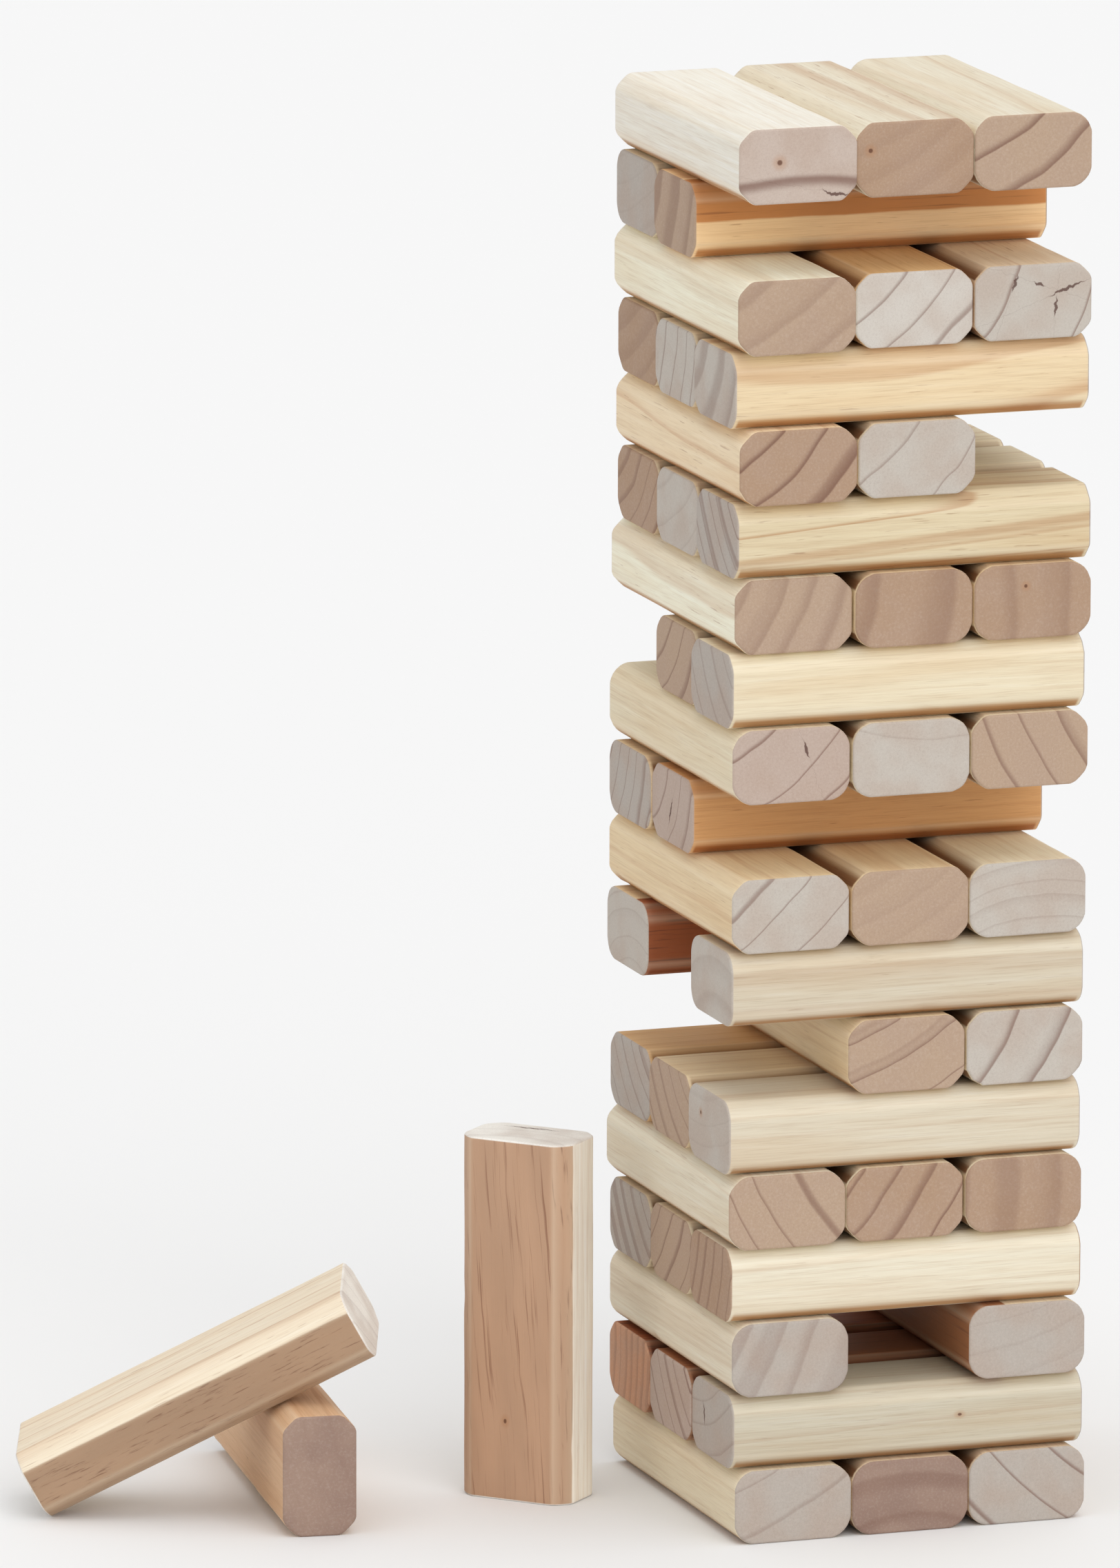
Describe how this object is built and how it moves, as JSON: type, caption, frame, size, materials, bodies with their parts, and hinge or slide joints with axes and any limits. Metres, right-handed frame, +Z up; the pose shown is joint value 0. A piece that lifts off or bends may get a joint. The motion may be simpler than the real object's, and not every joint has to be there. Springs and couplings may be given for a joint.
{
  "type": "giant tumbling tower",
  "caption": "Stack of planed pine blocks laid crosswise in layers, part way through a game, each block free to slide out, with loose blocks standing and leaning beside it.",
  "frame": {"origin": "centre of the tower's footprint, on the ground", "axes": "+Z up, +X to the right along the front of the tower, -Y towards the player at the front, so odd layers run along Y and even layers along X"},
  "size_m": [0.5212, 0.281, 0.7305],
  "materials": {
    "pine": "matte"
  },
  "bodies": {
    "layer_01_left": {"layer_01_left": "pine"},
    "layer_01_middle": {"layer_01_middle": "pine"},
    "layer_01_right": {"layer_01_right": "pine"},
    "layer_02_front": {"layer_02_front": "pine"},
    "layer_02_middle": {"layer_02_middle": "pine"},
    "layer_02_back": {"layer_02_back": "pine"},
    "layer_03_left": {"layer_03_left": "pine"},
    "layer_03_right": {"layer_03_right": "pine"},
    "layer_04_front": {"layer_04_front": "pine"},
    "layer_04_middle": {"layer_04_middle": "pine"},
    "layer_04_back": {"layer_04_back": "pine"},
    "layer_05_left": {"layer_05_left": "pine"},
    "layer_05_middle": {"layer_05_middle": "pine"},
    "layer_05_right": {"layer_05_right": "pine"},
    "layer_06_front": {"layer_06_front": "pine"},
    "layer_06_middle": {"layer_06_middle": "pine"},
    "layer_06_back": {"layer_06_back": "pine"},
    "layer_07_middle": {"layer_07_middle": "pine"},
    "layer_07_right": {"layer_07_right": "pine"},
    "layer_08_front": {"layer_08_front": "pine"},
    "layer_08_back": {"layer_08_back": "pine"},
    "layer_09_left": {"layer_09_left": "pine"},
    "layer_09_middle": {"layer_09_middle": "pine"},
    "layer_09_right": {"layer_09_right": "pine"},
    "layer_10_middle": {"layer_10_middle": "pine"},
    "layer_10_back": {"layer_10_back": "pine"},
    "layer_11_left": {"layer_11_left": "pine"},
    "layer_11_middle": {"layer_11_middle": "pine"},
    "layer_11_right": {"layer_11_right": "pine"},
    "layer_12_front": {"layer_12_front": "pine"},
    "layer_12_middle": {"layer_12_middle": "pine"},
    "layer_13_left": {"layer_13_left": "pine"},
    "layer_13_middle": {"layer_13_middle": "pine"},
    "layer_13_right": {"layer_13_right": "pine"},
    "layer_14_front": {"layer_14_front": "pine"},
    "layer_14_middle": {"layer_14_middle": "pine"},
    "layer_14_back": {"layer_14_back": "pine"},
    "layer_15_left": {"layer_15_left": "pine"},
    "layer_15_middle": {"layer_15_middle": "pine"},
    "layer_16_front": {"layer_16_front": "pine"},
    "layer_16_middle": {"layer_16_middle": "pine"},
    "layer_16_back": {"layer_16_back": "pine"},
    "layer_17_left": {"layer_17_left": "pine"},
    "layer_17_middle": {"layer_17_middle": "pine"},
    "layer_17_right": {"layer_17_right": "pine"},
    "layer_18_middle": {"layer_18_middle": "pine"},
    "layer_18_back": {"layer_18_back": "pine"},
    "layer_19_left": {"layer_19_left": "pine"},
    "layer_19_middle": {"layer_19_middle": "pine"},
    "layer_19_right": {"layer_19_right": "pine"},
    "loose_standing_block": {"loose_standing_block": "pine"},
    "loose_propping_block": {"loose_propping_block": "pine"},
    "loose_leaning_block": {"loose_leaning_block": "pine"}
  },
  "joints": [
    {"name": "layer_01_left_slide", "type": "slide", "parent": "layer_01_middle", "child": "layer_01_left", "axis": [0, 1, 0], "range_m": [-0.19, 0.19]},
    {"name": "layer_01_right_slide", "type": "slide", "parent": "layer_01_middle", "child": "layer_01_right", "axis": [0, 1, 0], "range_m": [-0.19, 0.19]},
    {"name": "layer_02_front_slide", "type": "slide", "parent": "layer_01_middle", "child": "layer_02_front", "axis": [1, 0, 0], "range_m": [-0.19, 0.19]},
    {"name": "layer_02_middle_slide", "type": "slide", "parent": "layer_01_middle", "child": "layer_02_middle", "axis": [1, 0, 0], "range_m": [-0.025, 0.19]},
    {"name": "layer_02_back_slide", "type": "slide", "parent": "layer_01_middle", "child": "layer_02_back", "axis": [1, 0, 0], "range_m": [-0.025, 0.19]},
    {"name": "layer_03_left_slide", "type": "slide", "parent": "layer_01_middle", "child": "layer_03_left", "axis": [0, 1, 0], "range_m": [-0.19, 0.19]},
    {"name": "layer_03_right_slide", "type": "slide", "parent": "layer_01_middle", "child": "layer_03_right", "axis": [0, 1, 0], "range_m": [-0.19, 0.19]},
    {"name": "layer_04_front_slide", "type": "slide", "parent": "layer_01_middle", "child": "layer_04_front", "axis": [1, 0, 0], "range_m": [-0.19, 0.19]},
    {"name": "layer_04_middle_slide", "type": "slide", "parent": "layer_01_middle", "child": "layer_04_middle", "axis": [1, 0, 0], "range_m": [-0.025, 0.19]},
    {"name": "layer_04_back_slide", "type": "slide", "parent": "layer_01_middle", "child": "layer_04_back", "axis": [1, 0, 0], "range_m": [-0.025, 0.19]},
    {"name": "layer_05_left_slide", "type": "slide", "parent": "layer_01_middle", "child": "layer_05_left", "axis": [0, 1, 0], "range_m": [-0.19, 0.19]},
    {"name": "layer_05_middle_slide", "type": "slide", "parent": "layer_01_middle", "child": "layer_05_middle", "axis": [0, 1, 0], "range_m": [-0.19, 0.19]},
    {"name": "layer_05_right_slide", "type": "slide", "parent": "layer_01_middle", "child": "layer_05_right", "axis": [0, 1, 0], "range_m": [-0.19, 0.19]},
    {"name": "layer_06_front_slide", "type": "slide", "parent": "layer_01_middle", "child": "layer_06_front", "axis": [1, 0, 0], "range_m": [-0.19, 0.19]},
    {"name": "layer_06_middle_slide", "type": "slide", "parent": "layer_01_middle", "child": "layer_06_middle", "axis": [1, 0, 0], "range_m": [-0.19, 0.19]},
    {"name": "layer_06_back_slide", "type": "slide", "parent": "layer_01_middle", "child": "layer_06_back", "axis": [1, 0, 0], "range_m": [-0.19, 0.19]},
    {"name": "layer_07_middle_slide", "type": "slide", "parent": "layer_01_middle", "child": "layer_07_middle", "axis": [0, 1, 0], "range_m": [-0.19, 0.19]},
    {"name": "layer_07_right_slide", "type": "slide", "parent": "layer_01_middle", "child": "layer_07_right", "axis": [0, 1, 0], "range_m": [-0.19, 0.19]},
    {"name": "layer_08_front_slide", "type": "slide", "parent": "layer_01_middle", "child": "layer_08_front", "axis": [1, 0, 0], "range_m": [-0.19, 0.19]},
    {"name": "layer_08_back_slide", "type": "slide", "parent": "layer_01_middle", "child": "layer_08_back", "axis": [1, 0, 0], "range_m": [-0.19, 0.19]},
    {"name": "layer_09_left_slide", "type": "slide", "parent": "layer_01_middle", "child": "layer_09_left", "axis": [0, 1, 0], "range_m": [-0.19, 0.19]},
    {"name": "layer_09_middle_slide", "type": "slide", "parent": "layer_01_middle", "child": "layer_09_middle", "axis": [0, 1, 0], "range_m": [-0.19, 0.19]},
    {"name": "layer_09_right_slide", "type": "slide", "parent": "layer_01_middle", "child": "layer_09_right", "axis": [0, 1, 0], "range_m": [-0.19, 0.19]},
    {"name": "layer_10_middle_slide", "type": "slide", "parent": "layer_01_middle", "child": "layer_10_middle", "axis": [1, 0, 0], "range_m": [-0.19, 0.19]},
    {"name": "layer_10_back_slide", "type": "slide", "parent": "layer_01_middle", "child": "layer_10_back", "axis": [1, 0, 0], "range_m": [-0.19, 0.19]},
    {"name": "layer_11_left_slide", "type": "slide", "parent": "layer_01_middle", "child": "layer_11_left", "axis": [0, 1, 0], "range_m": [-0.19, 0.19]},
    {"name": "layer_11_middle_slide", "type": "slide", "parent": "layer_01_middle", "child": "layer_11_middle", "axis": [0, 1, 0], "range_m": [-0.19, 0.19]},
    {"name": "layer_11_right_slide", "type": "slide", "parent": "layer_01_middle", "child": "layer_11_right", "axis": [0, 1, 0], "range_m": [-0.19, 0.19]},
    {"name": "layer_12_front_slide", "type": "slide", "parent": "layer_01_middle", "child": "layer_12_front", "axis": [1, 0, 0], "range_m": [-0.19, 0.19]},
    {"name": "layer_12_middle_slide", "type": "slide", "parent": "layer_01_middle", "child": "layer_12_middle", "axis": [1, 0, 0], "range_m": [-0.19, 0.19]},
    {"name": "layer_13_left_slide", "type": "slide", "parent": "layer_01_middle", "child": "layer_13_left", "axis": [0, 1, 0], "range_m": [-0.19, 0.19]},
    {"name": "layer_13_middle_slide", "type": "slide", "parent": "layer_01_middle", "child": "layer_13_middle", "axis": [0, 1, 0], "range_m": [-0.19, 0.19]},
    {"name": "layer_13_right_slide", "type": "slide", "parent": "layer_01_middle", "child": "layer_13_right", "axis": [0, 1, 0], "range_m": [-0.19, 0.19]},
    {"name": "layer_14_front_slide", "type": "slide", "parent": "layer_01_middle", "child": "layer_14_front", "axis": [1, 0, 0], "range_m": [-0.19, 0.19]},
    {"name": "layer_14_middle_slide", "type": "slide", "parent": "layer_01_middle", "child": "layer_14_middle", "axis": [1, 0, 0], "range_m": [-0.19, 0.19]},
    {"name": "layer_14_back_slide", "type": "slide", "parent": "layer_01_middle", "child": "layer_14_back", "axis": [1, 0, 0], "range_m": [-0.19, 0.19]},
    {"name": "layer_15_left_slide", "type": "slide", "parent": "layer_01_middle", "child": "layer_15_left", "axis": [0, 1, 0], "range_m": [-0.19, 0.19]},
    {"name": "layer_15_middle_slide", "type": "slide", "parent": "layer_01_middle", "child": "layer_15_middle", "axis": [0, 1, 0], "range_m": [-0.19, 0.19]},
    {"name": "layer_16_front_slide", "type": "slide", "parent": "layer_01_middle", "child": "layer_16_front", "axis": [1, 0, 0], "range_m": [-0.19, 0.19]},
    {"name": "layer_16_middle_slide", "type": "slide", "parent": "layer_01_middle", "child": "layer_16_middle", "axis": [1, 0, 0], "range_m": [-0.19, 0.19]},
    {"name": "layer_16_back_slide", "type": "slide", "parent": "layer_01_middle", "child": "layer_16_back", "axis": [1, 0, 0], "range_m": [-0.19, 0.19]},
    {"name": "layer_17_left_slide", "type": "slide", "parent": "layer_01_middle", "child": "layer_17_left", "axis": [0, 1, 0], "range_m": [-0.19, 0.19]},
    {"name": "layer_17_middle_slide", "type": "slide", "parent": "layer_01_middle", "child": "layer_17_middle", "axis": [0, 1, 0], "range_m": [-0.19, 0.19]},
    {"name": "layer_17_right_slide", "type": "slide", "parent": "layer_01_middle", "child": "layer_17_right", "axis": [0, 1, 0], "range_m": [-0.19, 0.19]},
    {"name": "layer_18_middle_slide", "type": "slide", "parent": "layer_01_middle", "child": "layer_18_middle", "axis": [1, 0, 0], "range_m": [-0.19, 0.19]},
    {"name": "layer_18_back_slide", "type": "slide", "parent": "layer_01_middle", "child": "layer_18_back", "axis": [1, 0, 0], "range_m": [-0.19, 0.19]},
    {"name": "layer_19_left_lift", "type": "slide", "parent": "layer_01_middle", "child": "layer_19_left", "axis": [0, 0, 1], "range_m": [0, 0.1]},
    {"name": "layer_19_middle_lift", "type": "slide", "parent": "layer_01_middle", "child": "layer_19_middle", "axis": [0, 0, 1], "range_m": [0, 0.1]},
    {"name": "layer_19_right_lift", "type": "slide", "parent": "layer_01_middle", "child": "layer_19_right", "axis": [0, 0, 1], "range_m": [0, 0.1]},
    {"name": "loose_standing_block_lift", "type": "slide", "parent": "layer_01_middle", "child": "loose_standing_block", "axis": [0, 0, 1], "range_m": [0, 0.3]},
    {"name": "loose_leaning_block_lift", "type": "slide", "parent": "layer_01_middle", "child": "loose_leaning_block", "axis": [0, 0, 1], "range_m": [0, 0.3]},
    {"name": "loose_propping_block_slide", "type": "slide", "parent": "layer_01_middle", "child": "loose_propping_block", "axis": [0.1219, 0.9925, 0], "range_m": [-0.015, 0.15]}
  ]
}
